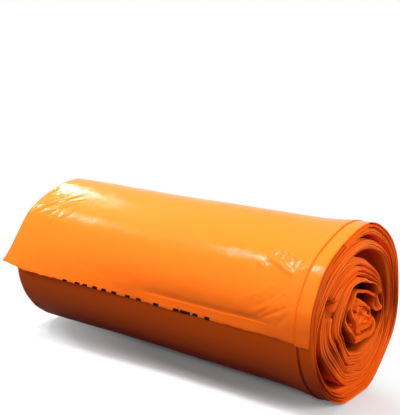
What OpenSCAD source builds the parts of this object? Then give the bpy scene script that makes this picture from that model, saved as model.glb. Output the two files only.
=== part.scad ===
/* [Roll] */
// Radius of the roll over its outermost turn
roll_r = 65; // [62:0.5:75]
// Width of the folded film, which is the length of the roll
film_w = 300; // [240:5:400]
// Height that the roll's own weight has taken off its round at the floor
flat_depth = 2.8; // [1.5:0.1:4]

/* [Film] */
// Thickness of one wound turn, a stack of folded film
film_t = 1.8; // [1.6:0.1:2]
// Thickness of the film at the loose end
edge_t = 0.8; // [0.6:0.1:1.4]
// Thickness of the film crumpled in the middle of the roll
core_t = 1.8; // [1.2:0.1:2]
// Air between one turn and the next where they lie closest
turn_gap = 0.6; // [0.5:0.05:0.8]
// Length over which the folded side edges of a turn are rounded
end_round = 2.2; // [1.5:0.1:3]

/* [Loose end] */
// Angle of the perforated edge, counted from the back over the top to the front
edge_angle = 184.4; // [176:0.2:190]
// Angle at which the lifted corner leaves the roll
lift_angle = 143; // [138:1:150]
// Length of the roll along which the loose end is lifted, from its left corner
lift_len = 210; // [120:5:230]
// How far the loose end stands out past the left end of the roll
overhang = 2; // [0:0.5:4]
// Distance from the perforated edge up to the heat seal
seal_up = 8.5; // [6:0.5:12]
// How far the strip below the heat seal flares out
seal_flare = 1; // [0.4:0.1:1.6]
// Distance between the teeth of the torn perforation
tooth_pitch = 5; // [4:0.5:10]
// Longest tooth
tooth_len = 1.6; // [0.8:0.1:2.4]

/* [Folded side] */
// Width of the lower ply that shows beside the folded edge at the right end
band_w = 12; // [8:0.5:20]
// Height of the step at the folded edge
band_step = 0.8; // [0.4:0.1:1]
// How much further round the lower ply reaches than the upper one
band_drop = 1.1; // [0:0.1:2]

/* [Hidden] */

// Where along the web the film is swollen with the air that was folded into it, and where a turn
// stands off the one under it: place and half length in turns from the loose end, height
swells = [
    [1.05, 0.25, 1.9], [2.24, 0.25, 3.2], [3.22, 0.28, 6.7], [4.18, 0.32, 4.6], [4.90, 0.42, 8.8],
    [5.24, 0.20, 1.6], [5.70, 0.22, 4.6], [6.03, 0.27, 8.0], [6.26, 0.20, 0.8], [6.74, 0.22, 8.0],
    [7.06, 0.31, 8.4], [7.30, 0.12, 1.2]
];
slacks = [[2.33, 0.15, 2.8], [3.43, 0.24, 13.0], [3.88, 0.14, 7.6]];
// How far each turn's side edges reach past the folded width, at the right and at the left end
reaches = [
    [0.0, -0.5], [0.8, -1.5], [-0.8, -0.8], [-0.2, -3.0], [-2.5, -4.0], [-1.0, -3.0], [-2.0, -4.5],
    [-0.6, -3.5], [-1.0, -4.0]
];

// Dents and bulges of the round: angle, half width, height
dents = [
    [114, 30, -2.2], [66, 36, 3.9], [34, 28, 2.4], [-47, 22, -2.2], [-15, 24, 1.0], [165, 19, 1.0]
];
dent_turns = 8;

// The turn at which the wound film ends and the crumpled end in the middle begins
last_turn = 7.4375;
// The middle of the hollow that the turns leave, off the roll's axis
core_at = [8, -3.5];

// Route of the crumpled end, in shares of the hollow inside the last turn, from its wall over
// a sharp fold and then round into the middle the other way
core_route = [
    [0.92, 0.57], [0.99, 0.44], [1.05, 0.28], [1.06, 0.13], [1.04, 0.05], [0.96, 0.02],
    [0.90, 0.12], [0.80, 0.30], [0.60, 0.49], [0.31, 0.65], [-0.03, 0.74], [-0.35, 0.74],
    [-0.58, 0.62], [-0.71, 0.41], [-0.72, 0.16], [-0.66, -0.11], [-0.52, -0.37], [-0.31, -0.55],
    [-0.02, -0.65], [0.30, -0.62], [0.58, -0.47], [0.73, -0.27], [0.67, -0.08], [0.46, 0.10],
    [0.19, 0.27], [-0.11, 0.40], [-0.35, 0.41], [-0.49, 0.25], [-0.42, -0.02], [-0.25, -0.26],
    [-0.01, -0.39], [0.29, -0.36], [0.43, -0.19], [0.29, -0.02], [0.02, 0.16], [-0.19, 0.21],
    [-0.25, 0.01]
];
// Where it is bunched up: point and half length along the route, height
core_swells = [[19, 6, 2.4], [30, 8, 1.5]];
// Its side edge at the right end: waves along it, their height, and its reach
core_waves = 9;
core_wave = 2.2;
core_end = -1;
// Angle back from the wall at which the crumpled end sets out, and the points of its route over
// which its thickness, its side edge and its packing change
core_lead = 6;
core_thin = 2;
core_settle = 3;
core_fill_from = 5;
// Away from its ends the roll is packed tighter in the middle: how far in, from which turn,
// how far from the ends, and how much thicker the crumpled end is there on each side
pack_in = 1.2;
pack_from = 6.3;
pack_run = 40;
core_fill = 0.2;
fold_angle = -10;

// Part of the first turn over which the film sinks in to pass under the loose end
lap_from = 0.45;
// The folded side edges: their step's largest share of the film, the depth of the groove between
// the two plies, and the part of a turn over which it opens
step_share = 0.4;
groove = 1.2;
groove_run = 0.25;
// Shortest tooth as a share of the longest, and the angle that varies the teeth
tooth_least = 0.35;
tooth_turn = 57;
// Rows of points up from the perforated edge: in the strip below the heat seal, and above it
strip_rows = 3;
seal_rows = [3, 7];
next_row = 9;

steps_outer = 64;
steps_inner = 32;
steps_core = 2;
flap_cols = 10;
rest_z = roll_r - flat_depth;
right_x = film_w / 2;
band_x = right_x - band_w;
packed_x = right_x - pack_run;
lift_turn = (edge_angle - lift_angle) / 360;
orange = "#F5801F";

function ease(v) = let (c = min(1, max(0, v))) c * c * (3 - 2 * c);
function mix(a, b, v) = a + (b - a) * v;
function total(v) = v * [for (x = v) 1];
function wrap(a) = a - 360 * floor((a + 180) / 360);
function dir(a) = [cos(a), sin(a)];
function angle_of(t) = edge_angle - 360 * t;
function turn_of(arc) = arc / (2 * PI * roll_r);

function bumps(list, at) = total([
    0, for (p = list) let (v = abs(at - p[0]) / p[1]) v < 1 ? p[2] * pow(cos(90 * v), 2) : 0
]);
function reach(t, col) = let (k = min(len(reaches) - 2, max(0, floor(t))))
    mix(reaches[k][col], reaches[k + 1][col], t - k);

// Thickness of a turn, and the air under it
function film(t) = mix(edge_t, film_t, min(1, max(0, t))) + bumps(swells, t);
function air(t) = turn_gap + bumps(slacks, t);

function dent(a) = total([for (d = dents) bumps([[0, d[1], d[2]]], wrap(a - d[0]))]);

// Outer face of the outermost turn, which slips in under the loose end and is flat at the floor
function first_r(f, a) =
    let (r = roll_r + dent(a) - (edge_t + turn_gap) * ease((f - lap_from) / (1 - lap_from)))
    sin(a) < 0 ? min(r, -rest_z / sin(a)) : r;

// Outer face of any turn: what lies over it is taken off, turn by turn
function outer_r(t) = let (k = max(0, floor(t)), f = t - k, a = angle_of(t))
    first_r(f, a) - dent(a) * k / dent_turns - total([0, for (j = [0:1:k - 1]) film(f + j) + air(f + j)]);

// The loose end: how far it is lifted along the roll, and the flare below its heat seal
function lift(x) = ease((lift_len - right_x - x) / lift_len);
function flare(t) = let (v = t / turn_of(seal_up)) v < 1 ? seal_flare * pow(1 - v, 2) : 0;

function on_roll(t, r) = (r + flare(t)) * dir(angle_of(t));
function off_roll(t, r) = let (run = roll_r * (angle_of(t) - lift_angle) * PI / 180)
    (outer_r(lift_turn) + r - outer_r(t) + flare(t)) * dir(lift_angle) + run * dir(lift_angle + 90);
function place(t, x, r) =
    let (p = t < lift_turn ? mix(on_roll(t, r), off_roll(t, r), lift(x)) : on_roll(t, r))
    [x, p[0], p[1] + rest_z];

// How far the last turn reaches in, halfway between the ends, away from the sharp fold at its wall
function packing(t) = pack_in * ease(t - pack_from) * (1 - cos(angle_of(t) - fold_angle)) / 2;

// Teeth of the perforated edge, uneven as film tears
function tooth(j) = j % 2 == 0 ? 0 : tooth_len * mix(tooth_least, 1, pow(sin(j * tooth_turn), 2));

// Section of the folded side edges: share of the rounded length, share of the film's thickness, groove
right_end = [[0.3, 0.12, 0], [0, 0.25, 0], [0.2, 0.5, 1], [0.15, 0.75, 0], [0.45, 0.9, 0]];
left_end = [[0.3, 0.8, 0], [0, 0.5, 0], [0.3, 0.2, 0]];

// One ring round the film: its stations and its points. Stations 0 to 1 lie along the outer face,
// 1 to 2 down the right end, 2 to 3 back along the inner face and 3 to 4 up the left end.
function ring_at(t, cols, band_cols, toothed) =
    let (
        o = outer_r(t), w = film(t), step = min(band_step, step_share * w),
        e = min(end_round, w / 2), cut = groove * min(1, t / groove_run),
        xr = right_x + reach(t, 0), xl = -right_x - mix(overhang, reach(t, 1), ease(t / lift_turn)),
        main = [for (j = [0:cols]) mix(xl + e, band_x - step / 2, j / cols)],
        band = [for (j = [0:band_cols]) mix(band_x, xr - e, j / band_cols)],
        back = function (j, low) toothed ? t - turn_of(tooth(j) + (low ? band_drop : 0)) : t
    ) [
        concat(
            [for (j = [0:cols]) 0.9 * j / cols], [for (j = [0:band_cols]) 0.92 + 0.08 * j / band_cols],
            [for (j = [0:4]) 1.1 + 0.2 * j],
            [for (j = [0:band_cols]) 2 + 0.08 * j / band_cols], [for (j = [0:cols]) 2.1 + 0.9 * j / cols],
            [for (j = [0:2]) 3.2 + 0.2 * j]
        ),
        concat(
            [for (j = [0:cols]) place(back(j, false), main[j], o)],
            [for (j = [0:band_cols]) place(back(j, true), band[j], o - step)],
            [
                for (p = right_end)
                    place(back(0, true), xr - p[0] * e - p[2] * cut, o - step - p[1] * (w - step))
            ],
            t > pack_from
                ? [
                    place(t, xr - e, o - w),
                    for (x = [packed_x, -packed_x]) place(t, x, o - w - packing(t)),
                    place(t, xl + e, o - w)
                ]
                : [
                    for (j = [band_cols:-1:0]) place(back(j, true), band[j], o - w),
                    for (j = [cols:-1:0]) place(back(j, false), main[j], o - w)
                ],
            [for (p = left_end) place(back(0, false), xl + p[0] * e, o - p[1] * w)]
        )
    ];

// The crumpled end: a smooth curve through its route, from the last turn inwards
last_film = film(last_turn);
hollow = outer_r(last_turn) - last_film - core_at * dir(angle_of(last_turn));
core_start = [
    for (t = [last_turn - core_lead / 360, last_turn]) (outer_r(t) - film(t) / 2) * dir(angle_of(t))
];
core_points = concat(core_start, [for (p = core_route) core_at + hollow * p]);
core_spans = len(core_points) - 3;

function weigh(p, c) = (c[0] * p[0] + c[1] * p[1] + c[2] * p[2] + c[3] * p[3]) / 2;
function smooth_at(p, v) = let (q = v * v, u = q * v)
    weigh(p, [-v + 2 * q - u, 2 - 5 * q + 3 * u, v + 4 * q - 3 * u, u - q]);
function smooth_dir(p, v) = let (q = v * v)
    weigh(p, [-1 + 4 * v - 3 * q, -10 * v + 9 * q, 1 + 8 * v - 9 * q, 3 * q - 2 * v]);

function ring_core(s) =
    let (
        k = min(core_spans - 1, floor(s)), v = s - k, p = [for (j = [0:3]) core_points[k + j]],
        mid = smooth_at(p, v), run = smooth_dir(p, v), side = [-run[1], run[0]] / norm(run),
        w = mix(last_film, core_t, ease(s / core_thin)) + bumps(core_swells, s), e = min(end_round, w / 2),
        loose = ease(s / core_settle), wave = core_wave * sin(360 * core_waves * s / core_spans),
        xr = right_x + mix(reach(last_turn, 0), core_end + wave, loose),
        xl = -right_x - reach(last_turn, 1),
        fill = core_fill * ease((s - core_fill_from) / core_settle) / w,
        in = packing(last_turn) * (1 - loose) / w,
        at = function (x, n) let (q = mid + side * (0.5 - n) * w) [x, q[0], q[1] + rest_z]
    ) [
        [0, 0.9, 0.92, 1, 1.1, 1.3, 1.5, 1.7, 1.9, 2, 2.08, 2.1, 3, 3.2, 3.4, 3.6],
        concat(
            [at(xl + e, 0), at(-packed_x, -fill), at(packed_x, -fill), at(xr - e, 0)],
            [for (p = right_end) at(xr - p[0] * e, p[1])],
            [at(xr - e, 1), at(packed_x, 1 + fill + in), at(-packed_x, 1 + fill + in), at(xl + e, 1)],
            [for (p = left_end) at(xl + p[0] * e, p[1])]
        )
    ];

// Triangles between two neighbouring rings, which may have different numbers of points
function next(v, i) = i + 1 < len(v) ? v[i + 1] : 4;
function stitch(va, vb, a, b, i = 0, j = 0, out = []) =
    let (ai = a + i % len(va), bj = b + j % len(vb))
    i == len(va) && j == len(vb) ? out
    : j == len(vb) || (i < len(va) && va[i] + next(va, i) <= vb[j] + next(vb, j))
        ? stitch(va, vb, a, b, i + 1, j, concat(out, [[ai, bj, a + (i + 1) % len(va)]]))
        : stitch(va, vb, a, b, i, j + 1, concat(out, [[ai, bj, b + (j + 1) % len(vb)]]));

// Triangles that close a ring, from its left end to its right one
function close(x, a, i, j, out = []) =
    j - i < 2 ? out
    : x[i + 1] < x[j - 1] ? close(x, a, i + 1, j, concat(out, [[a + i, a + i + 1, a + j]]))
        : close(x, a, i, j - 1, concat(out, [[a + i, a + j - 1, a + j]]));

edge_arcs = concat([for (j = [1:strip_rows]) seal_up * j / strip_rows], [for (s = seal_rows) seal_up + s]);
flap_first = ceil(turn_of(seal_up + next_row) * steps_outer);
flap_last = floor(lift_turn * steps_outer) + 1;
flap_stations = [for (k = [flap_first:flap_last]) k / steps_outer];
outer_stations = [for (k = [flap_last + 1:steps_outer]) k / steps_outer];
inner_stations = [for (k = [steps_inner + 1:last_turn * steps_inner]) k / steps_inner];
tooth_cols = 2 * round((film_w - band_w) / tooth_pitch);
tooth_band = 2 * round(band_w / tooth_pitch);

rings = concat(
    [ring_at(0, tooth_cols, tooth_band, true)],
    [for (s = edge_arcs) ring_at(turn_of(s), flap_cols, 1, false)],
    [for (t = flap_stations) ring_at(t, flap_cols, 1, false)],
    [for (t = concat(outer_stations, inner_stations)) ring_at(t, 1, 1, false)],
    [for (s = [1:core_spans * steps_core]) ring_core(s / steps_core)]
);

// The whole roll, one continuous web of bags: its rings are joined from the loose end to the middle
module bag_roll() {
    starts = [for (k = 0, n = 0; k < len(rings); n = n + len(rings[k][0]), k = k + 1) n];
    last_k = len(rings) - 1;
    first = [for (p = rings[0][1]) p[0]];
    last = [for (p = rings[last_k][1]) p[0]];
    walls = [for (k = [1:last_k]) each stitch(rings[k - 1][0], rings[k][0], starts[k - 1], starts[k])];
    first_cap = close(first, 0, 0, len(first) - 1);
    last_cap = [for (f = close(last, starts[last_k], 0, len(last) - 1)) [f[2], f[1], f[0]]];
    color(orange)
        polyhedron(points = [for (r = rings) each r[1]], faces = concat(walls, first_cap, last_cap));
}

bag_roll();
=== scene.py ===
# A roll of orange bin bags, wound without a core, lying on a white floor.
# The film is modelled as a flat web and then wound up. Lengths are millimetres until a piece is placed.
import math
import bpy
import bmesh
from mathutils import Matrix, Vector, noise


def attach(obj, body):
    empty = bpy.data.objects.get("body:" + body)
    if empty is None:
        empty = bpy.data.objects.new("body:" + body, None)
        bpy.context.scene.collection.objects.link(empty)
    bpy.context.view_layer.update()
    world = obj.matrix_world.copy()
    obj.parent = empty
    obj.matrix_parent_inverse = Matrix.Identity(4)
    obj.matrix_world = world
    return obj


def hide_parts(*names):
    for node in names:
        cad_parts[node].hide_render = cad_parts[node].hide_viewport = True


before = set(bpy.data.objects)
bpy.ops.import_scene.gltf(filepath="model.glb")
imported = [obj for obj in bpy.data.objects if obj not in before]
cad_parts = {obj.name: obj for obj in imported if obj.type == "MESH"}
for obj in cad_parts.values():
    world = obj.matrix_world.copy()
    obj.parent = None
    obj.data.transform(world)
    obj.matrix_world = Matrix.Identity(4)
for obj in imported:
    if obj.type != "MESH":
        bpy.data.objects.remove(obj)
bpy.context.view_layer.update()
mm = 0.001

roll = {
    "radius": 65.0,
    "width": 300.0,
    "flatDepth": 2.8,       # taken off the round at the floor
    "waist": 2.6,           # how much slimmer it is away from its thicker folded ends
    "waistRun": 45.0,
    "waistLeft": 0.4,       # share of it at the left end, and how far along it is whole
    "waistLeftRun": 120.0,
    "filmThick": 1.8,       # one wound turn, a stack of folded film
    "edgeThick": 0.8,       # the loose end
    "turnGap": 0.6,
    "edgeAngle": 184.4,     # of the perforated edge, from the back over the top
    "lapFrom": 0.45,        # part of the first turn from which the film sinks in under the loose end
    "lastTurn": 7.4375,
    "middle": (8.0, -3.5),  # of the hollow that the turns leave, off the roll's axis
}

# Where along the web the film is swollen with air, and where a turn stands off the one under it:
# place and half length in turns from the loose end, height
swells = [
    (1.05, 0.25, 1.9), (2.24, 0.25, 3.2), (3.22, 0.28, 6.7), (4.18, 0.32, 4.6), (4.90, 0.42, 8.8),
    (5.24, 0.20, 1.6), (5.70, 0.22, 4.6), (6.03, 0.27, 8.0), (6.26, 0.20, 0.8), (6.74, 0.22, 8.0),
    (7.06, 0.31, 8.4), (7.30, 0.12, 1.2),
]
slacks = [(2.33, 0.15, 2.8), (3.43, 0.24, 13.0), (3.88, 0.14, 7.6)]

# How far each turn's side edges reach past the folded width, at the right and at the left end
reaches = [
    (0.0, 4.5), (0.8, 3.5), (-0.8, 4.2), (-0.2, 1.5), (-2.5, 0.5), (-1.0, 1.5), (-2.0, 0.0),
    (-0.6, 1.0), (-1.0, 0.5),
]

# Dents and bulges of the round: angle, half width, height
dents = [(114, 30, -2.2), (66, 36, 3.9), (36, 28, 3.6), (-47, 22, -2.2), (-15, 24, 1.0), (165, 19, 1.0)]
dentTurns = 8

# Painted shade and light round the folded side edges: where they are drawn darker or brighter, by angle, half
# width and shade
roundShades = [(180, 75, 0.18), (0, 42, 0.32), (75, 55, -0.16), (-50, 35, -0.06), (-142, 34, 0.26)]

axisHeight = roll["radius"] - roll["flatDepth"]
rightX = roll["width"] / 2
girth = 2 * math.pi * roll["radius"]


def ease(value):
    value = min(1.0, max(0.0, value))
    return value * value * (3 - 2 * value)


def mix(a, b, share):
    return a + (b - a) * share


def direction(angle):
    return math.cos(math.radians(angle)), math.sin(math.radians(angle))


def angleOf(turn):
    return roll["edgeAngle"] - 360 * turn


def bumps(places, at):
    total = 0.0
    for place, half, height in places:
        off = abs(at - place) / half
        if off < 1:
            total += height * math.cos(math.radians(90 * off)) ** 2
    return total


def reach(turn, side):
    row = min(len(reaches) - 2, max(0, math.floor(turn)))
    return mix(reaches[row][side], reaches[row + 1][side], turn - row)


def filmAt(turn):
    return mix(roll["edgeThick"], roll["filmThick"], min(1, max(0, turn))) + bumps(swells, turn)


def airAt(turn):
    return roll["turnGap"] + bumps(slacks, turn)


def roundBumps(places, angle):
    total = 0.0
    for place, half, height in places:
        total += bumps([(0, half, height)], (angle - place + 180) % 360 - 180)
    return total


def dentAt(angle):
    return roundBumps(dents, angle)


def firstRadius(part, angle):
    sunk = (roll["edgeThick"] + roll["turnGap"]) * ease((part - roll["lapFrom"]) / (1 - roll["lapFrom"]))
    radius = roll["radius"] + dentAt(angle) - sunk
    upward = direction(angle)[1]
    return min(radius, -axisHeight / upward) if upward < 0 else radius


def outerRadius(turn):
    whole = max(0, math.floor(turn))
    part = turn - whole
    angle = angleOf(turn)
    radius = firstRadius(part, angle) - dentAt(angle) * whole / dentTurns
    for k in range(whole):
        radius -= filmAt(part + k) + airAt(part + k)
    return radius


def onRoll(turn, radius):
    cos, sin = direction(angleOf(turn))
    return radius * cos, radius * sin


def narrow(x):
    # share of its full thickness that the roll has at a place along it
    whole = mix(roll["waistLeft"], 1.0, ease((x + rightX) / roll["waistLeftRun"]))
    slim = ease((rightX - x) / roll["waistRun"]) * whole
    return 1 - slim * roll["waist"] / roll["radius"]


def wiggle(x, y, z=0.0):
    return noise.noise(Vector((x, y, z)))


# Painted shade on the film between the turns: at its side edge, deep in, and how far in that is
gapShade = {
    "edge": 0.48,
    "deep": 0.76,
    "run": 15.0,
    "coreFrom": 6.2,        # turns from the loose end, past which the middle's own values hold
    "coreEdge": 0.5,
    "coreDeep": 1.1,
    "coreRun": 9.0,
}


def paintedShade(inward, turn):
    # painted shade for film between the turns, drawn for how little light reaches it, from its side edge
    # inwards
    if turn > gapShade["coreFrom"]:
        return mix(gapShade["coreEdge"], gapShade["coreDeep"], ease(inward / gapShade["coreRun"]))
    return mix(gapShade["edge"], gapShade["deep"], ease(inward / gapShade["run"]))


def finishPiece(bm, name, material):
    bmesh.ops.recalc_face_normals(bm, faces=bm.faces)
    for face in bm.faces:
        face.smooth = True
    mesh = bpy.data.meshes.new(name)
    bm.to_mesh(mesh)
    bm.free()
    piece = bpy.data.objects.new(name, mesh)
    bpy.context.scene.collection.objects.link(piece)
    mesh.materials.append(material)
    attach(piece, "root")
    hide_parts("bag_roll")
    print("made", name, "with", len(mesh.polygons), "faces")
    return piece


def weaveEnds(flatX, right, left):
    # stretches the flat web so that its two side edges lie at right and left
    return flatX * (right if flatX > 0 else -left) / rightX


wrap = {
    "turns": 1.25,          # wound on to here, where the film under it takes over
    "thinEdge": 0.55,       # share of its thickness that the film has at its torn edge
    "thinRun": 25.0,
    "liftAngle": 143.0,     # at which the lifted corner leaves the roll
    "liftLength": 210.0,
    "overhang": 2.0,
    "cornerUp": 4.0,        # curl of the lifted corner, and how far along the roll it runs
    "cornerRun": 34.0,
    "seal": 8.5,            # heat seal, up from the perforated edge
    "sealFlare": 1.7,       # how far the strip below it stands out
    "sealCurve": 1.3,
    "sealFrom": -10.0,      # stretch of the edge along which the seal shows, left to right
    "sealTo": 122.0,
    "sealRampIn": 30.0,
    "sealRampOut": 20.0,
    "sealFaint": 0.35,      # share of the flare along the rest
    "sealHollow": 0.4,      # dip above the seal
    "sealDip": 2.4,
    "bandWidth": 12.0,      # lower ply that shows beside the folded edge
    "bandStep": 1.0,
    "bandDrop": 1.1,
    "bandParts": 6,
    "stepProfile": [(-0.5, 0.0), (-0.15, 0.1), (0.0, 0.5), (0.1, 1.0)],  # off the fold, share of bandStep
    "column": 2.6,          # spacing of points along the roll
    "edgeRows": [0.0, 0.1, 0.5, 3.0, 4.4, 5.8, 7.0, 7.9, 8.5, 9.1, 10.0, 11.3],
    "seenRow": 1.7,         # spacing of rows of points where the photo's side shows them, and behind
    "hiddenRow": 4.2,
    "seenTo": 70.0,         # angles between which the rows are spaced widely
    "seenFrom": -80.0,
    "finePatches": [(-150, -88), (82, 150)],    # stretches along the roll with twice the points,
    "fineAngles": (178, 92),                    # between these angles
    "edgeWander": 0.5,      # unevenness of the torn edge, long and short
    "ragged": 0.7,
    "raggedLeft": 1.6,      # more of it towards the left
    "raggedLeftTo": -55.0,
    "raggedLeftRun": 25.0,
    "notchDepth": 1.8,      # slits of the perforation that were torn open
    "notchUneven": 0.15,
    "notchLeft": 0.5,       # share of their depth that the leftmost have
    "notchLeftFrom": -85.0,
    "notchLeftRun": 40.0,
    "notchWidth": 4.8,
    "notchWidthUneven": 0.25,
    "notches": [-77, -64, -56, -46, -37, -27, -13.5, -2.5, 15, 34, 40, 45, 52, 63],
    "endRound": 0.7,
    "endsUneven": 0.25,     # waves near both ends, with their grain along the roll and round it
    "endsGrain": (60.0, 11.0),
    "endsFrom": 110.0,
    "endsRun": 40.0,
    "lapCalm": 0.6,         # share of the relief that is lost where the film goes in under the loose end
    "lapCalmFrom": 0.9,
    "lapCalmRun": 0.1,
    "slitShade": 2.0,       # painted shadow seen through the perforation
    "insideShade": 0.3,     # painted shade on the inside of the loose end
    "leeShade": 0.6,        # painted shade on the film in the lee of the loose end, from here along the web
    "leeFrom": 0.56,
    "leeRun": 0.12,
    "floorShade": 0.55,     # more painted shade towards the floor, up to here
    "floorShadeTo": 1.01,
    "floorShadeRun": 0.2,
    "foldRidge": 0.5,       # the folded edge stands up beside the lower ply
    "foldRidgeIn": 1.3,
    "foldShade": 0.55,      # and painted shade darkens the step
}
bandX = rightX - wrap["bandWidth"]
liftTurn = (roll["edgeAngle"] - wrap["liftAngle"]) / 360


def liftAt(x):
    return ease((wrap["liftLength"] - rightX - x) / wrap["liftLength"])


def wrapPlace(turn, x, radius):
    # on the roll, or off it along the straight run of the lifted corner
    rolled = onRoll(turn, radius)
    if turn >= liftTurn:
        return rolled
    cos, sin = direction(wrap["liftAngle"])
    run = roll["radius"] * math.radians(angleOf(turn) - wrap["liftAngle"])
    height = outerRadius(liftTurn) + radius - outerRadius(turn)
    curl = ease((wrap["cornerRun"] - rightX - x) / wrap["cornerRun"]) * (turn / liftTurn - 1) ** 2
    straight = (height * cos - run * sin, height * sin + run * cos + wrap["cornerUp"] * curl)
    share = liftAt(x)
    return mix(rolled[0], straight[0], share), mix(rolled[1], straight[1], share)


# Creases in the outermost turn: height, half width, and the points it runs through,
# each as a place along the roll and an angle round it
creases = [
    # streaks slanting down from the left end of the top
    (0.80, 1.8, [(-147, 139), (-138, 131), (-126, 122), (-117, 112), (-110, 105)]),
    (0.60, 1.4, [(-145, 134), (-140, 124), (-144, 113), (-148, 100)]),
    (0.75, 1.6, [(-135, 138), (-126, 131), (-115, 120), (-103, 111)]),
    (0.55, 1.3, [(-139, 131), (-130, 124), (-120, 114)]),
    (0.50, 1.3, [(-127, 135), (-118, 127), (-106, 118)]),
    (0.65, 1.4, [(-119, 143), (-117, 137), (-116, 128)]),
    (0.60, 1.3, [(-110, 136), (-104, 131), (-104, 124)]),
    (0.50, 1.0, [(-112, 141), (-110, 135)]),
    (0.54, 1.2, [(-146, 103), (-146, 120)]),
    (-0.22, 2.0, [(-108, 140), (-96, 150), (-80, 158)]),
    # crossed creases near the folded side
    (1.00, 1.7, [(100, 132), (116, 139), (128, 144)]),
    (0.90, 1.6, [(116, 139), (115, 133), (115, 126)]),
    (0.70, 1.4, [(100, 128), (109, 128), (115, 126)]),
    (0.60, 1.6, [(97, 138), (103, 143)]),
    (0.60, 1.2, [(121, 130), (128, 133)]),
    (0.60, 1.1, [(134, 141), (135, 135)]),
    # creases that fan out from the folded side above the seal
    (-0.45, 1.2, [(132, 163), (122, 168), (109, 174)]),
    (-0.40, 1.1, [(128, 156), (119, 163), (108, 172)]),
    (0.25, 1.8, [(125, 160), (115, 166), (98, 173)]),
    (-0.25, 1.5, [(127, 150), (117, 160), (104, 168)]),
    (0.25, 1.8, [(117, 150), (106, 159), (95, 164)]),
    (-0.30, 1.5, [(132, 167), (124, 176)]),
    # faint ones over the top
    (-0.25, 1.8, [(-32, 84), (-22, 95)]),
    (0.20, 1.6, [(16, 87), (24, 93)]),
    (-0.25, 2.5, [(-60, 96), (-30, 101), (10, 100)]),
    (-0.22, 2.2, [(60, 104), (84, 110), (104, 116)]),
    (0.22, 2.5, [(20, 128), (50, 133), (86, 131)]),
    (-0.25, 3.0, [(-75, 168), (-40, 172), (-8, 170)]),
]


def arcOf(angle):
    return (roll["edgeAngle"] - angle) / 360 * girth


flatCreases = []
for height, halfWidth, route in creases:
    points = [(x, arcOf(angle)) for x, angle in route]
    lengths = [math.dist(a, b) for a, b in zip(points, points[1:])]
    flatCreases.append((height, halfWidth, points, lengths, sum(lengths)))


def creaseRelief(x, arc):
    total = 0.0
    for height, halfWidth, points, lengths, whole in flatCreases:
        best, along, gone = 1e9, 0.0, 0.0
        for (ax, ay), (bx, by), length in zip(points, points[1:], lengths):
            share = ((x - ax) * (bx - ax) + (arc - ay) * (by - ay)) / (length * length)
            share = min(1.0, max(0.0, share))
            away = math.hypot(x - mix(ax, bx, share), arc - mix(ay, by, share))
            if away < best:
                best, along = away, gone + share * length
            gone += length
        if best < 3 * halfWidth:
            fade = min(1.0, 4 * along / whole + 0.15) * min(1.0, 4 * (whole - along) / whole + 0.15)
            total += height * fade * math.exp(-(best / halfWidth) ** 2)
    return total


# Patches of small crumples: place along the roll, angle, half length, half height, depth, grain
crumples = [
    (-125, 118, 30, 26, 0.28, 5.0),
    (115, 131, 24, 15, 0.70, 5.5),
    (143, 135, 8, 14, 0.60, 4.5),
    (118, 160, 24, 22, 0.25, 8.0),
]


def crumpleRelief(x, arc):
    total = 0.0
    for place, angle, halfLength, halfHeight, depth, grain in crumples:
        off = math.hypot((x - place) / halfLength, (arc - arcOf(angle)) / halfHeight)
        if off < 1:
            ridge = 1 - 2 * abs(wiggle(x / grain, arc / grain, place))
            total += depth * ease(1 - off) * (ridge - 0.5)
    return total


def sealRelief(x, arc):
    shown = ease((x - wrap["sealFrom"]) / wrap["sealRampIn"])
    shown *= ease((wrap["sealTo"] - x) / wrap["sealRampOut"])
    up = arc - wrap["seal"]
    if up < 0:
        flare = wrap["sealFlare"] * mix(wrap["sealFaint"], 1.0, shown)
        return flare * abs(up / wrap["seal"]) ** wrap["sealCurve"]
    return -wrap["sealHollow"] * shown * math.exp(-(up / wrap["sealDip"] - 0.5) ** 2)


# The film's own unevenness: height, grain along the roll and round it, and which pattern
unevenness = [(0.30, 38.0, 26.0, 0.0), (0.12, 14.0, 9.0, 3.0)]


def wrapRelief(x, arc):
    loose = 0.0
    for height, grainAlong, grainRound, pattern in unevenness:
        loose += height * wiggle(x / grainAlong, arc / grainRound, pattern)
    grainAlong, grainRound = wrap["endsGrain"]
    ends = wrap["endsUneven"] * wiggle(x / grainAlong, arc / grainRound, 9.0)
    ends *= ease((abs(x) - wrap["endsFrom"]) / wrap["endsRun"])
    if arc < girth:
        ends += wrap["foldRidge"] * math.exp(-(x - bandX + wrap["foldRidgeIn"]) ** 2)
    return loose + ends + creaseRelief(x, arc) + crumpleRelief(x, arc) + sealRelief(x, arc)


def wrapColumns():
    # places of the points along the roll, with a pair on each side of every slit
    columns = {-rightX + 0.8, -rightX + 2.0}
    count = round((2 * rightX - wrap["bandWidth"]) / wrap["column"])
    for k in range(1, count):
        columns.add(mix(-rightX, bandX, k / count))
    for k, centre in enumerate(wrap["notches"]):
        half = notchHalf(k)
        for side in (-1, 1):
            columns = {x for x in columns if abs(x - centre - side * half) > 0.9}
            columns |= {centre + side * (half + 0.2), centre + side * (half - 0.2)}
    return sorted(columns)


def notchHalf(k):
    return wrap["notchWidth"] / 2 * (1 + wrap["notchWidthUneven"] * wiggle(k * 2.3, 1.0))


def inNotch(x):
    for k, centre in enumerate(wrap["notches"]):
        if abs(x - centre) < notchHalf(k):
            return True
    return False


def edgeArc(x, upper):
    # where the perforated edge runs: torn film, with slits in the upper ply
    if upper and inNotch(x):
        share = ease((x - wrap["notchLeftFrom"]) / wrap["notchLeftRun"])
        depth = wrap["notchDepth"] * mix(wrap["notchLeft"], 1.0, share)
        return depth * (1 + wrap["notchUneven"] * wiggle(x, 5.0))
    share = ease((wrap["raggedLeftTo"] - x) / wrap["raggedLeftRun"])
    ragged = mix(wrap["ragged"], wrap["raggedLeft"], share)
    return ragged * wiggle(x * 0.8, 7.0) + wrap["edgeWander"] * wiggle(x * 0.21, 2.0)


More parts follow.
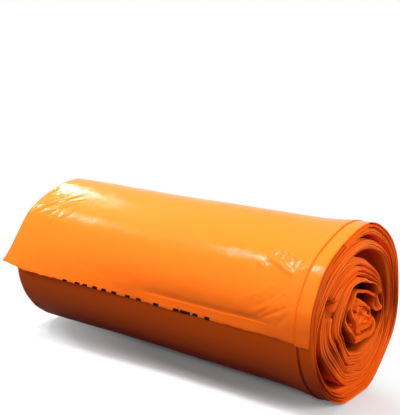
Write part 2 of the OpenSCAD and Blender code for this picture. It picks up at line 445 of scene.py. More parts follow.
def wrapArcs():
    arcs = list(wrap["edgeRows"])
    while arcs[-1] < girth * wrap["turns"]:
        arc = arcs[-1]
        seen = arc < arcOf(wrap["seenTo"]) or arcOf(wrap["seenFrom"]) < arc < girth + 3
        arcs.append(arc + (wrap["seenRow"] if seen else wrap["hiddenRow"]))
    return arcs


def makeWrap(material):
    faceX = wrapColumns()
    bandColumns = [mix(bandX, rightX, k / wrap["bandParts"]) for k in range(1, wrap["bandParts"])]
    arcs = wrapArcs()
    rings, shades = [], []
    for row, arc in enumerate(arcs):
        turn = arc / girth
        thick = filmAt(turn) * mix(wrap["thinEdge"], 1.0, ease(arc / wrap["thinRun"]))
        step = min(wrap["bandStep"], 0.45 * thick)
        curl = min(wrap["endRound"], thick / 2)
        outer = [(x, 0.0) for x in faceX]
        outer += [(bandX + off, -share * step) for off, share in wrap["stepProfile"]]
        outer += [(x, -step) for x in bandColumns]
        right = [(rightX - 0.3 * curl, -step - 0.1 * thick), (rightX, -0.55 * thick),
                 (rightX - 0.3 * curl, -0.8 * thick)]
        inner = [(x, -thick) for x, depth in reversed(outer)]
        left = [(-rightX + 0.25 * curl, -0.85 * thick), (-rightX, -0.5 * thick),
                (-rightX + 0.25 * curl, -0.15 * thick)]
        ring = []
        for k, (x, depth) in enumerate(outer + right + inner + left):
            place = arc
            upper = k < len(outer) and x < bandX
            # the first three rows follow the torn edge, and the fourth stays behind every slit
            if row < 3:
                place += edgeArc(x, upper and row > 0) - (wrap["bandDrop"] if x > bandX else 0)
            elif row == 3:
                place = max(arc, edgeArc(x, upper) + 0.9) if x < bandX else arc
            # the first two draw in towards the film's own middle, which closes the edge
            if row < 2:
                depth = -0.75 * thick if row == 0 else mix(-0.75 * thick, depth, 0.6)
            ring.append(Vector((x, place, depth)))
        rings.append(ring)
        shades.append([wrapShade(x, place, depth, thick, step) for x, place, depth in ring])
    bm = gridFromRings(rings, shades)
    for low, high in wrap["finePatches"]:
        refine(bm, low, high, *(arcOf(angle) for angle in wrap["fineAngles"]))
    for vert in bm.verts:
        x, arc, depth = vert.co
        turn = arc / girth
        right = rightX + reach(max(0, turn), 0)
        left = -rightX - mix(wrap["overhang"], reach(max(0, turn), 1), ease(turn / liftTurn))
        calm = wrap["lapCalm"] * ease((turn - wrap["lapCalmFrom"]) / wrap["lapCalmRun"])
        relief = wrapRelief(x, arc) * (1 - calm)
        placed = wrapPlace(turn, x, outerRadius(turn) + depth + relief)
        slim = narrow(x)
        vert.co = Vector((weaveEnds(x, right, left), placed[0] * slim, placed[1] * slim + axisHeight)) * mm
        vert.co.z = max(0.0, vert.co.z)
    return finishPiece(bm, "looseEndAndOuterTurn", material)


def outerPaintedShade(turn):
    # painted shade: the turns' edges are drawn darker at the front, where they get less light, the outer
    # turns' most, plus the painted shade and light of roundShades
    angle = angleOf(turn)
    front = ease(0.3 - direction(angle)[0])
    inwards = ease((turn - turns["outerPaintedShadeTo"]) / turns["outerPaintedShadeRun"])
    return turns["outerPaintedShade"] * front * (1 - inwards) + roundBumps(roundShades, angle)


# painted shade on the outer turn: near black in the slits, darker inside the loose end and at its side edges,
# in its lee, towards the floor and in the fold
def wrapShade(x, arc, depth, thick, step):
    turn = arc / girth
    if arc < wrap["notchDepth"] * 1.2 and -0.9 * thick < depth < -0.1 * thick and inNotch(x):
        return wrap["slitShade"]
    if depth < -1.02 * step:
        return wrap["insideShade"] if turn < 0.1 else outerPaintedShade(turn) + paintedShade(rightX - abs(x), 0)
    shade = wrap["leeShade"]
    shade += wrap["floorShade"] * ease((wrap["floorShadeTo"] - turn) / wrap["floorShadeRun"])
    shade *= ease((turn - wrap["leeFrom"]) / wrap["leeRun"])
    inFold = -1.02 * step < depth < -0.05 * step and x < bandX + 0.3
    return shade + (wrap["foldShade"] * (1 - 0.6 * min(1, shade)) if inFold else 0.0)


def gridFromRings(rings, shades):
    # a grid whose columns run round the film and whose rows run along the web, joined into a tube
    columns = len(rings[0])
    bm = bmesh.new()
    bmesh.ops.create_grid(bm, x_segments=columns, y_segments=len(rings) - 1, size=0.5)
    # each point's painted shade, read by the film material
    layer = bm.verts.layers.float.new("paintedShade")
    for vert in bm.verts:
        column = round((vert.co.x + 0.5) * columns) % columns
        row = round((vert.co.y + 0.5) * (len(rings) - 1))
        vert.co = rings[row][column]
        vert[layer] = shades[row][column]
    bmesh.ops.remove_doubles(bm, verts=bm.verts, dist=1e-5)
    openEdges = [edge for edge in bm.edges if edge.is_boundary]
    bmesh.ops.holes_fill(bm, edges=openEdges, sides=0)
    return bm


def refine(bm, low, high, arcLow, arcHigh):
    # splits the outer face's quads inside a patch
    edges = []
    for edge in bm.edges:
        a, b = edge.verts[0].co, edge.verts[1].co
        x, arc = (a.x + b.x) / 2, (a.y + b.y) / 2
        if low <= x <= high and arcLow <= arc <= arcHigh and min(a.z, b.z) > -0.3 * wrap["bandStep"]:
            edges.append(edge)
    bmesh.ops.subdivide_edges(bm, edges=edges, cuts=1, use_grid_fill=True)


turns = {
    "from": 1.2,
    "spacing": 2.2,         # between rows of points along the web
    "plies": 4,             # folded layers that show at the right end of each turn
    "leftPlies": 3,
    "plyPoints": (0.06, 0.25, 0.5, 0.75, 0.94),     # across each layer's rounded edge
    "leftPlyPoints": (0.15, 0.5, 0.85),
    "plyWander": 0.35,      # how unevenly the layers share a turn's thickness
    "plyWanderGrain": 45.0,
    "plyReach": 2.2,        # how unevenly they reach out
    "plyReachGrain": 55.0,
    "plyRound": 0.9,
    "plyShade": 0.34,       # painted shade on their tips, less where they reach far out, more at their sides
    "plyShadeReach": 0.05,
    "plyShadeSide": 0.5,
    "plyShadeWander": 0.12,
    "plyShadeGrain": 40.0,
    "grooveDepth": 3.4,
    "grooveLeast": 0.1,
    "grooveShare": 0.45,    # of that depth in the mean, how far it wanders, and its grain along the web
    "grooveWander": 1.3,
    "grooveGrain": 32.0,
    # painted shade at the groove bottoms
    "grooveShade": 1.05,
    "grooveHalf": 0.14,
    "crownDepth": 1.8,      # each turn's outer plies lie further back than its middle ones, and get painted shade
    "crownShade": 0.42,
    "crownLoss": 0.75,      # share of it that the last turns lose
    "smoothAngle": -55.0,   # where the plies lie flush, so that the folded side looks smooth
    "smoothSpan": 48.0,
    "smoothFrom": 2.0,      # turns over which that begins
    "smoothRun": 0.5,
    "smoothReach": 0.7,     # shares that it takes off the layers' reach, roundness, grooves and crowns
    "smoothRound": 0.5,
    "smoothGroove": 0.93,
    "smoothCrown": 0.8,
    "smoothPatch": (4.98, 0.14, 0.9),   # and at one more place along the web
    "outerPaintedShade": 0.12,      # painted shade: darker edges at the front, in the outer turns
    "outerPaintedShadeTo": 1.8,
    "outerPaintedShadeRun": 1.2,
    "tearFrom": 148.0,      # a piece torn out of the plies beside the crumpled middle, by angle
    "tearTo": 168.0,
    "tearInner": 30.0,      # and by distance from the axis
    "tearOuter": 45.0,
    "tearDepth": 8.0,
    # painted shade in the torn place
    "tearShade": 0.62,
    "tearFromRun": 5.0,     # degrees, then mm, over which it deepens from each side
    "tearToRun": 1.2,
    "tearRingRun": 1.5,
    "strayFrom": 4.0,       # turns over which the edges begin to stray
    "strayRun": 3.0,
    "packIn": 1.2,          # the middle is packed tighter away from the ends
    "packFrom": 6.3,
    "packRun": 40.0,
    "foldAngle": -10.0,
}

core = {
    "thick": 1.8,
    "lead": 6.0,
    "spanSteps": 6,
    "thin": 2.0,            # spans over which the film thins, and over which its edge works loose
    "settle": 3.0,
    "fillFrom": 5.0,
    "fill": 0.2,
    "reach": -1.0,
    "wave": 2.2,
    "waves": 9,
    "sway": 1.6,            # how far the crumpled film strays near the end
    "swayGrain": 9.0,       # across the roll, and along it
    "swayGrainAlong": 25.0,
    "swayRun": 45.0,
    "crinkle": 0.5,
    "crinkleGrain": 3.5,
    "crowned": 0.25,        # how far its outer plies lie back, as a share of the outer turns'
}

# Route of the crumpled end of the web, in shares of the hollow inside the last turn
coreRoute = [
    (0.92, 0.57), (0.99, 0.44), (1.05, 0.28), (1.06, 0.13), (1.04, 0.05), (0.96, 0.02),
    (0.90, 0.12), (0.80, 0.30), (0.60, 0.49), (0.31, 0.65), (-0.03, 0.74), (-0.35, 0.74),
    (-0.58, 0.62), (-0.71, 0.41), (-0.72, 0.16), (-0.66, -0.11), (-0.52, -0.37), (-0.31, -0.55),
    (-0.02, -0.65), (0.30, -0.62), (0.58, -0.47), (0.73, -0.27), (0.67, -0.08), (0.46, 0.10),
    (0.19, 0.27), (-0.11, 0.40), (-0.35, 0.41), (-0.49, 0.25), (-0.42, -0.02), (-0.25, -0.26),
    (-0.01, -0.39), (0.29, -0.36), (0.43, -0.19), (0.29, -0.02), (0.02, 0.16), (-0.19, 0.21),
    (-0.25, 0.01),
]

# Where it is bunched up: point and half length along the route, height
coreSwells = [(19, 6, 2.4), (30, 8, 1.5)]


def endPlies(count, shares, edge, thick, along, seed, smooth, crowned):
    # the folded layers at one end, as (x, depth, painted shade): rounded edges that reach out unevenly
    side = 1 if edge > 0 else -1
    cuts = [0.0]
    for k in range(1, count):
        wander = turns["plyWander"] * wiggle(along / turns["plyWanderGrain"], k * 5.1, seed)
        cuts.append((k + wander) / count)
    cuts.append(1.0)
    uneven = turns["plyReach"] * (1 - turns["smoothReach"] * smooth)
    grain = turns["plyReachGrain"]
    tips = [uneven * wiggle(along / grain, k * 9.7, seed + 20) for k in range(count)]
    points = []
    for k in range(count):
        layer = (cuts[k + 1] - cuts[k]) * thick
        curl = min(turns["plyRound"], layer / 2) * (1 - turns["smoothRound"] * smooth)
        if k > 0:
            wander = turns["grooveWander"] * wiggle(along / turns["grooveGrain"], k * 3.3, seed + 40)
            depth = turns["grooveDepth"] * ease(turns["grooveShare"] + wander) + turns["grooveLeast"]
            depth *= 1 - turns["smoothGroove"] * smooth
            # painted shade, darker in deeper grooves
            shade = mix(0.5, turns["grooveShade"], min(1, depth / 1.2))
            bottom = edge - side * (curl + depth - min(tips[k - 1], tips[k]))
            half = min(turns["grooveHalf"], 0.2 * layer) * min(1, depth)
            points.append((bottom, cuts[k] * thick - half, shade))
            points.append((bottom, cuts[k] * thick + half, shade))
        for share in shares:
            place = mix(cuts[k], cuts[k + 1], share)
            crown = abs(2 * place - 1) ** 3 * (1 - turns["smoothCrown"] * smooth) * crowned
            back = curl * (1 - math.sqrt(1 - (2 * share - 1) ** 2)) + turns["crownDepth"] * crown
            # painted shade: darker towards each layer's rounded sides and on the crowns, with tone that
            # differs at random
            shade = turns["plyShade"] - turns["plyShadeReach"] * tips[k]
            shade += turns["plyShadeSide"] * (2 * share - 1) ** 4 + turns["crownShade"] * crown
            shade += turns["plyShadeWander"] * wiggle(along / turns["plyShadeGrain"], k * 7.3, seed + 60)
            points.append((edge - side * (back - tips[k]), place * thick, shade))
    return points


def turnSection(turn, right, left, thick, along, pack, smooth, crowned):
    # once round the flattened film: outer face, right end, inner face, left end, as (x, depth, painted shade)
    inset = min(1.0, thick / 2) + 0.4
    face = [left + inset, left + 5, left + 14, -110, -60, 0, 60, 110, right - 14, right - 5, right - inset]
    outer = [(x, 0.0, paintedShade(min(right - x, x - left), turn)) for x in face]
    inner = []
    for x, depth, shade in reversed(outer):
        inner.append((x, thick + (pack if abs(x) <= rightX - turns["packRun"] else 0), shade))
    rightEnd = endPlies(turns["plies"], turns["plyPoints"], right, thick, along, 1.0, smooth, crowned)
    leftEnd = endPlies(turns["leftPlies"], turns["leftPlyPoints"], left, thick, along, 2.0, 0.0, crowned)
    return outer + rightEnd + inner + leftEnd[::-1]


def sway(x, y, z, share):
    # the whole bundle strays together, so that no layer passes through its neighbour
    near = ease((abs(x) - rightX + core["swayRun"]) / core["swayRun"]) * share * core["sway"]
    grain = core["swayGrain"]
    y, z, x = y / grain, z / grain, x / core["swayGrainAlong"]
    return near * wiggle(y, z, x), near * wiggle(y, z, x + 50)


def packAt(turn):
    # how far the film's inside is pressed inwards away from the ends, most of all opposite the fold
    around = 1 - math.cos(math.radians(angleOf(turn) - turns["foldAngle"]))
    return turns["packIn"] * ease(turn - turns["packFrom"]) * around / 2


def tornAt(angle, radius):
    # how far the torn place has taken the plies back
    run = turns["tearRingRun"]
    inside = ease((angle - turns["tearFrom"]) / turns["tearFromRun"])
    inside *= ease((turns["tearTo"] - angle) / turns["tearToRun"])
    return inside * ease((radius - turns["tearInner"]) / run) * ease((turns["tearOuter"] - radius) / run)


def woundRings():
    rings, shades = [], []
    turn, along = turns["from"], 0.0
    last = roll["lastTurn"]
    while turn < last:
        angle = angleOf(turn)
        radius = outerRadius(turn)
        thick = filmAt(turn)
        pack = packAt(turn) + bumps(slacks, turn)
        right = rightX + reach(turn, 0)
        left = -rightX - reach(turn, 1)
        loose = ease((turn - turns["strayFrom"]) / turns["strayRun"])
        smooth = roundBumps([(turns["smoothAngle"], turns["smoothSpan"], 1.0)], angle)
        smooth *= ease((turn - turns["smoothFrom"]) / turns["smoothRun"])
        smooth = max(smooth, bumps([turns["smoothPatch"]], turn))
        crowned = 1 - turns["crownLoss"] * ease(turn - gapShade["coreFrom"])
        angleShade = outerPaintedShade(turn)
        ring, rowShades = [], []
        for x, depth, shade in turnSection(turn, right, left, thick, along, pack, smooth, crowned):
            torn = tornAt(angle % 360, radius - depth) if x > rightX - turns["tearDepth"] else 0.0
            y, z = onRoll(turn, radius - depth)
            strayY, strayZ = sway(x, y, z, loose)
            ring.append(Vector((x - torn * turns["tearDepth"], y + strayY, z + strayZ)))
            # painted shade by angle, and darker in the torn place
            rowShades.append(mix(shade + angleShade, turns["tearShade"] + 0.6 * shade, torn))
        rings.append(ring)
        shades.append(rowShades)
        turn += turns["spacing"] / (2 * math.pi * radius)
        along += turns["spacing"]
    return rings, shades, along


def coreRings(along):
    last = roll["lastTurn"]
    lastFilm = filmAt(last)
    middle = roll["middle"]
    points = []
    for turn in (last - core["lead"] / 360, last):
        points.append(onRoll(turn, outerRadius(turn) - filmAt(turn) / 2))
    cos, sin = direction(angleOf(last))
    hollow = outerRadius(last) - lastFilm - middle[0] * cos - middle[1] * sin
    points += [(middle[0] + hollow * y, middle[1] + hollow * z) for y, z in coreRoute]
    spans = len(points) - 3
    packed = packAt(last)
    rings, shades = [], []
    for step in range(spans * core["spanSteps"] + 1):
        s = step / core["spanSteps"]
        k = min(spans - 1, int(s))
        v = s - k
        # a smooth curve through the points: each point's part in its place, and in its slope
        weights = (-v + 2 * v**2 - v**3, 2 - 5 * v**2 + 3 * v**3, v + 4 * v**2 - 3 * v**3, v**3 - v**2)
        slopes = (-1 + 4 * v - 3 * v**2, -10 * v + 9 * v**2, 1 + 8 * v - 9 * v**2, 3 * v**2 - 2 * v)
        four = points[k:k + 4]
        y, z = (sum(w * p[axis] for w, p in zip(weights, four)) / 2 for axis in (0, 1))
        dy, dz = (sum(w * p[axis] for w, p in zip(slopes, four)) / 2 for axis in (0, 1))
        length = math.hypot(dy, dz)
        sideY, sideZ = -dz / length, dy / length
        thick = mix(lastFilm, core["thick"], ease(s / core["thin"])) + bumps(coreSwells, s)
        loose = ease(s / core["settle"])
        wave = core["wave"] * math.sin(2 * math.pi * core["waves"] * s / spans)
        right = rightX + mix(reach(last, 0), core["reach"] + wave, loose)
        left = -rightX - reach(last, 1)
        fill = core["fill"] * ease((s - core["fillFrom"]) / core["settle"])
        if step > 0:
            along += length / core["spanSteps"]
        pack = packed * (1 - loose)
        grain = core["crinkleGrain"]
        ring, rowShades = [], []
        for x, depth, shade in turnSection(last, right, left, thick, along, pack, 0.0, core["crowned"]):
            crinkle = 0.0
            if abs(x) > rightX - turns["packRun"]:
                crinkle = core["crinkle"] * loose * wiggle(x / grain, along / grain, 8.0)
            elif fill:
                depth = depth + fill if depth > thick / 2 else depth - fill
            shift = thick / 2 - depth + crinkle
            py, pz = y + sideY * shift, z + sideZ * shift
            strayY, strayZ = sway(x, py, pz, 1.0)
            ring.append(Vector((x, py + strayY, pz + strayZ)))
            rowShades.append(shade)
        rings.append(ring)
        shades.append(rowShades)
    return rings, shades


def makeInnerTurns(material):
    rings, shades, along = woundRings()
    coreRows, coreShades = coreRings(along)
    bm = gridFromRings(rings + coreRows[1:], shades + coreShades[1:])
    for vert in bm.verts:
        settle(vert)
    return finishPiece(bm, "innerTurns", material)


def settle(vert):
    # from round the roll's axis, in mm, to its place on the floor
    x, y, z = vert.co
    slim = narrow(x)
    vert.co = Vector((x, y * slim, max(0.0, z * slim + axisHeight))) * mm


# The last bag, crumpled: its corner, seen at the right end, and the rest that fills the hollow
# away from both ends. Sizes run from the middle, along and across the roll, and shade is the painted shade it
# is drawn with
wads = {
    "crumpledMiddle": {"middle": (124, 9, -5), "size": (23.5, 15, 14), "shade": 0.74},
    "crumpledInside": {"middle": (0, 9, -3.5), "size": (94, 30, 27), "shade": 1.2},
}
wad = {
    "square": 4.0,          # how flat the front is
    "folds": 2.6,           # height, grain and painted light and shade of the folds and of the crinkles on them
    "foldGrain": 8.0,
    "foldShade": 0.34,
    "crinkle": 1.3,
    "crinkleGrain": 3.0,
    "crinkleShade": 0.22,
    "ridge": 2.4,           # how sharply both stand up
}


def makeWad(name, material):
    spec = wads[name]
    bm = bmesh.new()
    bmesh.ops.create_icosphere(bm, subdivisions=6, radius=1.0)
    layer = bm.verts.layers.float.new("paintedShade")
    for vert in bm.verts:
        across = math.hypot(vert.co.y, vert.co.z)
        power = wad["square"]
        reachOut = (abs(vert.co.x) ** power + across ** power) ** (-1 / power)
        point = Vector([m + size * c * reachOut for m, size, c in zip(spec["middle"], spec["size"], vert.co)])
        folds = 1 - wad["ridge"] * abs(wiggle(*(point / wad["foldGrain"])))
        crinkle = 1 - wad["ridge"] * abs(wiggle(*(point / wad["crinkleGrain"])))
        push = wad["folds"] * folds + wad["crinkle"] * crinkle - wad["folds"] * 0.5
        # painted light on the ridges of the folds and crinkles, painted shade between them
        vert[layer] = spec["shade"] - wad["foldShade"] * folds - wad["crinkleShade"] * crinkle
        vert.co = point + vert.co * push
        settle(vert)
    return finishPiece(bm, name, material)


def linear(hexColour):
    # sRGB hex to linear colour
    channels = [int(hexColour[k:k + 2], 16) / 255 for k in (1, 3, 5)]
    return [c / 12.92 if c <= 0.04045 else ((c + 0.055) / 1.055) ** 2.4 for c in channels] + [1.0]


def addNode(tree, kind, settings, links):
    # adds a node; settings name its inputs or properties, links name the sockets that feed it
    node = tree.nodes.new(kind)
    for name, value in settings.items():
        if isinstance(name, int) or name in node.inputs:
            node.inputs[name].default_value = value
        else:
            setattr(node, name, value)
    for name, socket in links.items():
        tree.links.new(socket, node.inputs[name])
    return node


def newMaterial(name):
    material = bpy.data.materials.new(name)
    material.use_nodes = True
    material.node_tree.nodes.clear()
    return material, material.node_tree


film = {
    "top": "#FA8526",       # painted light: paler towards the top, where it faces the lamps
    "side": "#FB7018",
    "low": "#DC4A0C",       # painted shade: darker and redder towards the floor
    "edge": "#F7640F",      # folded side edges: deeper orange where light has passed through several plies, and partly painted shade
    "deep": "#7E1E05",      # painted shade between the turns
    "slit": "#1A0800",      # painted shadow seen through the perforation
    "lowAt": 0.25,          # heights of the low and the side colour, as shares of the roll's
    "sideAt": 0.62,
    "uneven": 0.10,         # how far the colours wander up and down
    "edgeAt": 0.25,         # halves of the painted shades at which the painted shade colours lie
    "deepAt": 0.5,
    "shadeFrom": 0.1,       # painted shades over which those colours take over
    "shadeTo": 0.5,
    "roughness": 0.2,
    "hazeBelow": 0.04,      # how far the haze changes it
    "hazeAbove": 0.06,
    "rubbed": 0.5,          # added to it on shaded film, at the floor and from the axis up
    "rubbedHigh": 0.24,
    "ior": 1.51,
    "specular": 0.055,
    "hazeGrain": 2.5,       # grains and depths in mm
    "hazeDepth": 0.12,
    "hazeBump": 0.25,
    "rippleGrain": 14.0,
    "rippleDepth": 0.8,
    "rippleBump": 0.3,
}


def makeFilmMaterial():
    # blown polyethylene film: a soft gloss, a faint orange-peel haze, and painted light and shade in its
    # colour, paler towards the top, redder towards the floor and deeper red to near black where paintedShade
    # is high
    material, tree = newMaterial("blownPolyethyleneFilm")
    place = addNode(tree, "ShaderNodeTexCoord", {}, {})
    haze = addNode(tree, "ShaderNodeTexNoise", {"Scale": 1 / (film["hazeGrain"] * mm), "Detail": 2.0},
                   {"Vector": place.outputs["Object"]})
    ripple = addNode(tree, "ShaderNodeTexNoise", {"Scale": 1 / (film["rippleGrain"] * mm), "Detail": 3.0},
                     {"Vector": place.outputs["Object"]})
    parts = addNode(tree, "ShaderNodeSeparateXYZ", {}, {"Vector": place.outputs["Object"]})
    # painted light and shade: the film's colour runs from the low colour up through the side colour to the
    # top colour with height
    height = addNode(tree, "ShaderNodeMapRange", {"From Min": 0.0, "From Max": 2 * axisHeight * mm},
                     {"Value": parts.outputs["Z"]})
    uneven = addNode(tree, "ShaderNodeMath", {"operation": "MULTIPLY_ADD", 1: film["uneven"]},
                     {0: ripple.outputs["Fac"], 2: height.outputs["Result"]})
    ramp = addNode(tree, "ShaderNodeValToRGB", {}, {"Fac": uneven.outputs["Value"]})
    ramp.color_ramp.elements[0].position = film["lowAt"]
    ramp.color_ramp.elements[0].color = linear(film["low"])
    ramp.color_ramp.elements[1].position = 1.0
    ramp.color_ramp.elements[1].color = linear(film["top"])
    side = ramp.color_ramp.elements.new(film["sideAt"])
    side.color = linear(film["side"])
    # painted shade: the paintedShade attribute mixes in the edge colour, dark red and near black
    shade = addNode(tree, "ShaderNodeAttribute", {"attribute_name": "paintedShade"}, {})
    half = addNode(tree, "ShaderNodeMath", {"operation": "MULTIPLY", 1: 0.5}, {0: shade.outputs["Fac"]})
    inner = addNode(tree, "ShaderNodeValToRGB", {}, {"Fac": half.outputs["Value"]})
    inner.color_ramp.elements[0].position = film["edgeAt"]
    inner.color_ramp.elements[0].color = linear(film["edge"])
    inner.color_ramp.elements[1].position = 1.0
    inner.color_ramp.elements[1].color = linear(film["slit"])
    between = inner.color_ramp.elements.new(film["deepAt"])
    between.color = linear(film["deep"])
    share = addNode(tree, "ShaderNodeMapRange",
                    {"From Min": film["shadeFrom"], "From Max": film["shadeTo"]},
                    {"Value": shade.outputs["Fac"]})
    colour = addNode(tree, "ShaderNodeMix", {"data_type": "RGBA"},
                     {0: share.outputs["Result"], 6: ramp.outputs["Color"], 7: inner.outputs["Color"]})
    rough = addNode(tree, "ShaderNodeMapRange",
                    {"From Min": 0.3, "From Max": 0.7, "To Min": film["roughness"] - film["hazeBelow"],
                     "To Max": film["roughness"] + film["hazeAbove"]},
                    {"Value": haze.outputs["Fac"]})
    rubbed = addNode(tree, "ShaderNodeMapRange",
                     {"From Min": 0.0, "From Max": axisHeight * mm, "To Min": film["rubbed"],
                      "To Max": film["rubbedHigh"]},
                     {"Value": parts.outputs["Z"]})
    dull = addNode(tree, "ShaderNodeMath", {"operation": "MULTIPLY_ADD"},
                   {0: share.outputs["Result"], 1: rubbed.outputs["Result"], 2: rough.outputs["Result"]})
    bump = addNode(tree, "ShaderNodeBump",
                   {"Strength": film["hazeBump"], "Distance": film["hazeDepth"] * mm},
                   {"Height": haze.outputs["Fac"]})
    broad = addNode(tree, "ShaderNodeBump",
                    {"Strength": film["rippleBump"], "Distance": film["rippleDepth"] * mm},
                    {"Height": ripple.outputs["Fac"], "Normal": bump.outputs["Normal"]})
    shader = addNode(tree, "ShaderNodeBsdfPrincipled",
                     {"IOR": film["ior"], "Specular IOR Level": film["specular"]},
                     {"Base Color": colour.outputs[2], "Roughness": dull.outputs["Value"],
                      "Normal": broad.outputs["Normal"]})
    addNode(tree, "ShaderNodeOutputMaterial", {}, {"Surface": shader.outputs["BSDF"]})
    return material


filmMaterial = makeFilmMaterial()
makeWrap(filmMaterial)
makeInnerTurns(filmMaterial)
for name in wads:
    makeWad(name, filmMaterial)

view = {
    "azimuth": 39.21,       # from straight ahead towards the right end
    "elevation": 11.57,
    "distance": 672.1,      # from the roll's axis
    "aimRight": 3.8,        # what the camera looks at, to the right of and above the roll's middle
    "aimUp": 58.4,
    "lens": 70.42,
}


def addCamera():
    az, el = math.radians(view["azimuth"]), math.radians(view["elevation"])
    back = Vector((math.sin(az) * math.cos(el), -math.cos(az) * math.cos(el), math.sin(el)))
    right = Vector((math.cos(az), math.sin(az), 0))
    up = back.cross(right)
    place = right * view["aimRight"] + up * view["aimUp"] + back * view["distance"]
    place = (place + Vector((0, 0, axisHeight))) * mm
    data = bpy.data.cameras.new("camera")
    data.sensor_fit = "VERTICAL"
    data.sensor_height = 36
    data.lens = view["lens"]
    camera = bpy.data.objects.new("camera", data)
    camera.matrix_world = Matrix((
        (right.x, up.x, back.x, place.x),
        (right.y, up.y, back.y, place.y),
        (right.z, up.z, back.z, place.z),
        (0, 0, 0, 1),
    ))
    bpy.context.scene.collection.objects.link(camera)
    bpy.context.scene.camera = camera
    return camera


def addSoftbox(name, place, target, width, height, power):
    data = bpy.data.lights.new(name, "AREA")
    data.shape = "RECTANGLE"
    data.size = width * mm
    data.size_y = height * mm
    data.energy = power
    lamp = bpy.data.objects.new(name, data)
    lamp.location = Vector(place) * mm
    aim = Vector(target) * mm - lamp.location
    lamp.rotation_euler = aim.to_track_quat("-Z", "Y").to_euler()
    bpy.context.scene.collection.objects.link(lamp)
    return lamp


def glintPlace(camera, x, angle, distance):
    # where a lamp stands to be mirrored towards the camera from that place on the roll
    cos, sin = direction(angle)
    point = Vector((x, roll["radius"] * cos, roll["radius"] * sin + axisHeight))
    normal = Vector((0, cos, sin))
    towards = (camera.matrix_world.translation / mm - point).normalized()
    mirrored = 2 * normal.dot(towards) * normal - towards
    return point + mirrored * distance, point


camera = addCamera()
lights = {
    "overhead": {"place": (0, -350, 1150), "width": 600, "height": 350, "power": 4.5},
    "front": {"place": (420, -900, 560), "width": 500, "height": 300, "power": 3.4},
    "end": {"place": (1000, -60, 520), "width": 420, "height": 420, "power": 7.2},
    "leftGlint": {"x": -122, "angle": 109, "distance": 900, "width": 90, "height": 110, "power": 1.5},
    "creaseGlint": {"x": -130, "angle": 127, "distance": 900, "width": 90, "height": 90, "power": 3.5},
    "rightGlint": {"x": 120, "angle": 133, "distance": 900, "width": 120, "height": 120, "power": 6.2},
}
for name in ("overhead", "front"):
    spec = lights[name]
    addSoftbox(name + "Softbox", spec["place"], (0, 0, 0), spec["width"], spec["height"], spec["power"])
end = lights["end"]
addSoftbox("endSoftbox", end["place"], (rightX, 0, axisHeight), end["width"], end["height"], end["power"])
for name in ("leftGlint", "creaseGlint", "rightGlint"):
    spec = lights[name]
    place, point = glintPlace(camera, spec["x"], spec["angle"], spec["distance"])
    addSoftbox(name, place, point, spec["width"], spec["height"], spec["power"])
print("lights and camera placed")


stage = {
    "floorSize": 4.0,       # m, half its side
    "paper": "#F0F0F0",
    "unseen": "#5A5A5A",    # what the roll is lit by from below
    "stretch": (0.5, 1.7, 1),       # distances on the floor are taken longer across the roll than along it
    "middle": (0.015, -0.03, 0),
    "worldLight": 0.12,
    "white": 1.0,
}

# How far the paper's own white covers the roll's shadow, by that distance in m: the first and last
# stops of the ramp, then those between
floorShares = [(0.035, 0.02), (0.5, 1.0), (0.06, 0.12), (0.08, 0.25), (0.1, 0.75), (0.13, 0.97)]


def seenByCamera(tree):
    # 1 where the camera looks straight, in a gloss or through something clear
    path = addNode(tree, "ShaderNodeLightPath", {}, {})
    seen = addNode(tree, "ShaderNodeMath", {"operation": "MAXIMUM"},
                   {0: path.outputs["Is Camera Ray"], 1: path.outputs["Is Glossy Ray"]})
    seenToo = addNode(tree, "ShaderNodeMath", {"operation": "MAXIMUM"},
                      {0: seen.outputs["Value"], 1: path.outputs["Is Transmission Ray"]})
    return seenToo.outputs["Value"]


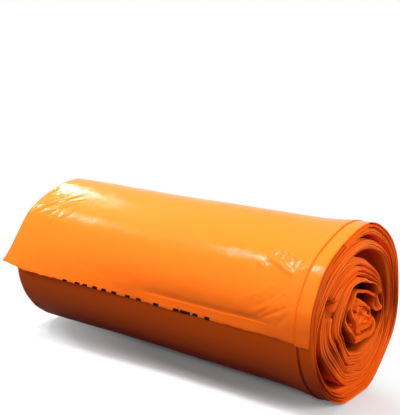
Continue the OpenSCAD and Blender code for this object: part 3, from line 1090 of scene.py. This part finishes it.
def addFloor():
    bm = bmesh.new()
    bmesh.ops.create_grid(bm, x_segments=1, y_segments=1, size=stage["floorSize"])
    mesh = bpy.data.meshes.new("floor")
    bm.to_mesh(mesh)
    bm.free()
    floor = bpy.data.objects.new("floor", mesh)
    bpy.context.scene.collection.objects.link(floor)
    material, tree = newMaterial("whitePaper")
    place = addNode(tree, "ShaderNodeTexCoord", {}, {})
    stretched = addNode(tree, "ShaderNodeMapping", {"Scale": stage["stretch"]},
                        {"Vector": place.outputs["Object"]})
    away = addNode(tree, "ShaderNodeVectorMath", {"operation": "DISTANCE", 1: stage["middle"]},
                   {0: stretched.outputs["Vector"]})
    bare = addNode(tree, "ShaderNodeValToRGB", {}, {"Fac": away.outputs["Value"]})
    for k, (at, share) in enumerate(floorShares):
        stop = bare.color_ramp.elements[k] if k < 2 else bare.color_ramp.elements.new(at)
        stop.position = at
        stop.color = (share, share, share, 1)
    paper = addNode(tree, "ShaderNodeBsdfDiffuse", {"Color": linear(stage["paper"])}, {})
    plain = addNode(tree, "ShaderNodeEmission", {"Color": (1, 1, 1, 1), "Strength": stage["white"]}, {})
    white = addNode(tree, "ShaderNodeMixShader", {},
                    {"Fac": bare.outputs["Color"], 1: paper.outputs["BSDF"], 2: plain.outputs["Emission"]})
    grey = addNode(tree, "ShaderNodeBsdfDiffuse", {"Color": linear(stage["unseen"])}, {})
    both = addNode(tree, "ShaderNodeMixShader", {},
                   {"Fac": seenByCamera(tree), 1: grey.outputs["BSDF"], 2: white.outputs["Shader"]})
    addNode(tree, "ShaderNodeOutputMaterial", {}, {"Surface": both.outputs["Shader"]})
    mesh.materials.append(material)


def addWorld():
    world = bpy.data.worlds.new("studio")
    world.use_nodes = True
    tree = world.node_tree
    tree.nodes.clear()
    dim = addNode(tree, "ShaderNodeBackground", {"Color": (1, 1, 1, 1), "Strength": stage["worldLight"]}, {})
    white = addNode(tree, "ShaderNodeBackground", {"Color": (1, 1, 1, 1), "Strength": stage["white"]}, {})
    both = addNode(tree, "ShaderNodeMixShader", {},
                   {"Fac": seenByCamera(tree), 1: dim.outputs["Background"], 2: white.outputs["Background"]})
    addNode(tree, "ShaderNodeOutputWorld", {}, {"Surface": both.outputs["Shader"]})
    bpy.context.scene.world = world


addFloor()
addWorld()
bpy.context.scene.view_settings.view_transform = "Standard"
print("stage set")
